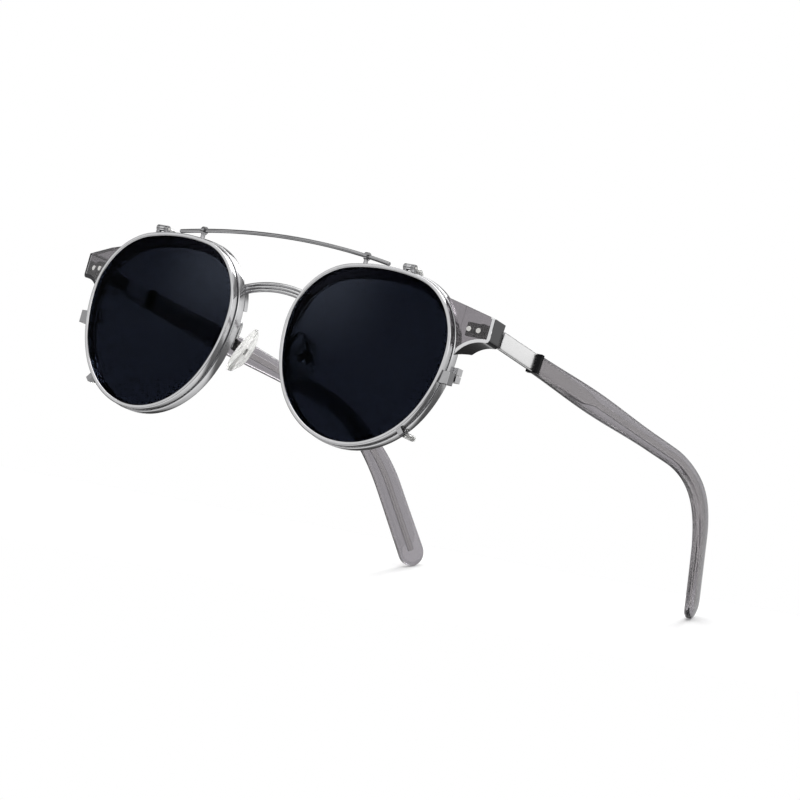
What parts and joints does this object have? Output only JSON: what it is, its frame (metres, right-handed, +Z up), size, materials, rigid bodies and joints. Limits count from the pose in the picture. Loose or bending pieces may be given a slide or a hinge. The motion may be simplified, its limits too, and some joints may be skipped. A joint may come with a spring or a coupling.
{
  "type": "flip up sunglasses",
  "caption": "Combination eyeglass frame with folding temples and a hinged front of dark round lenses that flips up off the clear lenses.",
  "frame": {"origin": "middle of the width and of the length, on the plane that the two rims and the two temple tips rest on", "axes": "+X to the wearer's left, +Y from the lenses towards the wearer, +Z up"},
  "size_m": [0.1346, 0.1451, 0.05],
  "materials": {
    "polished_metal": "polished silver-coloured metal",
    "clip_metal": "polished silver-coloured metal",
    "hinge_metal": "plain steel, a little darker",
    "rivet_metal": "plain steel",
    "grey_acetate": "see-through grey acetate, polished",
    "dark_collar": "glossy black",
    "clear_glass": "clear",
    "dark_glass": "very dark blue-grey, glossy",
    "clear_silicone": "clear soft silicone"
  },
  "bodies": {
    "front": {"left_eyewire": "polished_metal", "right_eyewire": "polished_metal", "left_acetate_rim": "grey_acetate", "right_acetate_rim": "grey_acetate", "left_end_plate": "grey_acetate", "right_end_plate": "grey_acetate", "left_end_band": "polished_metal", "right_end_band": "polished_metal", "left_clear_lens": "clear_glass", "right_clear_lens": "clear_glass", "bridge": "polished_metal", "left_rivets": "rivet_metal", "right_rivets": "rivet_metal", "left_front_hinge": "hinge_metal", "right_front_hinge": "hinge_metal", "left_hinge_screw": "hinge_metal", "right_hinge_screw": "hinge_metal", "left_pad_arm": "polished_metal", "right_pad_arm": "polished_metal", "left_top_hook": "polished_metal", "right_top_hook": "polished_metal", "left_hook_tube": "clear_silicone", "right_hook_tube": "clear_silicone", "left_flip_pin": "rivet_metal", "right_flip_pin": "rivet_metal", "left_pad_box": "hinge_metal", "right_pad_box": "hinge_metal", "left_pad_pin": "rivet_metal", "right_pad_pin": "rivet_metal", "left_rim_lock": "hinge_metal", "right_rim_lock": "hinge_metal", "left_rim_screw": "rivet_metal", "right_rim_screw": "rivet_metal"},
    "left_temple": {"left_temple_core": "polished_metal", "left_temple_hinge": "hinge_metal", "left_temple_sleeve": "grey_acetate", "left_temple_collar": "dark_collar"},
    "right_temple": {"right_temple_core": "polished_metal", "right_temple_hinge": "hinge_metal", "right_temple_sleeve": "grey_acetate", "right_temple_collar": "dark_collar"},
    "flip_front": {"left_flip_rim": "clip_metal", "left_dark_lens": "dark_glass", "left_eyelet": "clip_metal", "left_flip_barrels": "clip_metal", "left_finger_tab": "clip_metal", "left_lower_prong": "clip_metal", "left_prong_tube": "clear_silicone", "right_flip_rim": "clip_metal", "right_dark_lens": "dark_glass", "right_eyelet": "clip_metal", "right_flip_barrels": "clip_metal", "right_finger_tab": "clip_metal", "right_lower_prong": "clip_metal", "right_prong_tube": "clear_silicone", "top_bar": "clip_metal"},
    "left_pad": {"left_nose_pad": "clear_silicone"},
    "right_pad": {"right_nose_pad": "clear_silicone"}
  },
  "joints": [
    {"name": "left_temple_fold", "type": "hinge", "parent": "front", "child": "left_temple", "pos_m": [0.06269, -0.0587, 0.03524], "axis": [-0.0061, 0.0307, 0.9995], "range_deg": [0, 85]},
    {"name": "right_temple_fold", "type": "hinge", "parent": "front", "child": "right_temple", "pos_m": [-0.06269, -0.0587, 0.03524], "axis": [0.0061, 0.0307, 0.9995], "range_deg": [-75, 0]},
    {"name": "flip_up", "type": "hinge", "parent": "front", "child": "flip_front", "pos_m": [0, -0.07032, 0.04697], "axis": [-1, 0, 0], "range_deg": [0, 90]},
    {"name": "left_pad_rock", "type": "hinge", "parent": "front", "child": "left_pad", "pos_m": [0.01133, -0.06292, 0.02158], "axis": [0.4807, 0.8545, -0.1968], "range_deg": [-8, 8]},
    {"name": "right_pad_rock", "type": "hinge", "parent": "front", "child": "right_pad", "pos_m": [-0.01133, -0.06292, 0.02158], "axis": [0.4807, -0.8545, 0.1968], "range_deg": [-8, 8]}
  ]
}
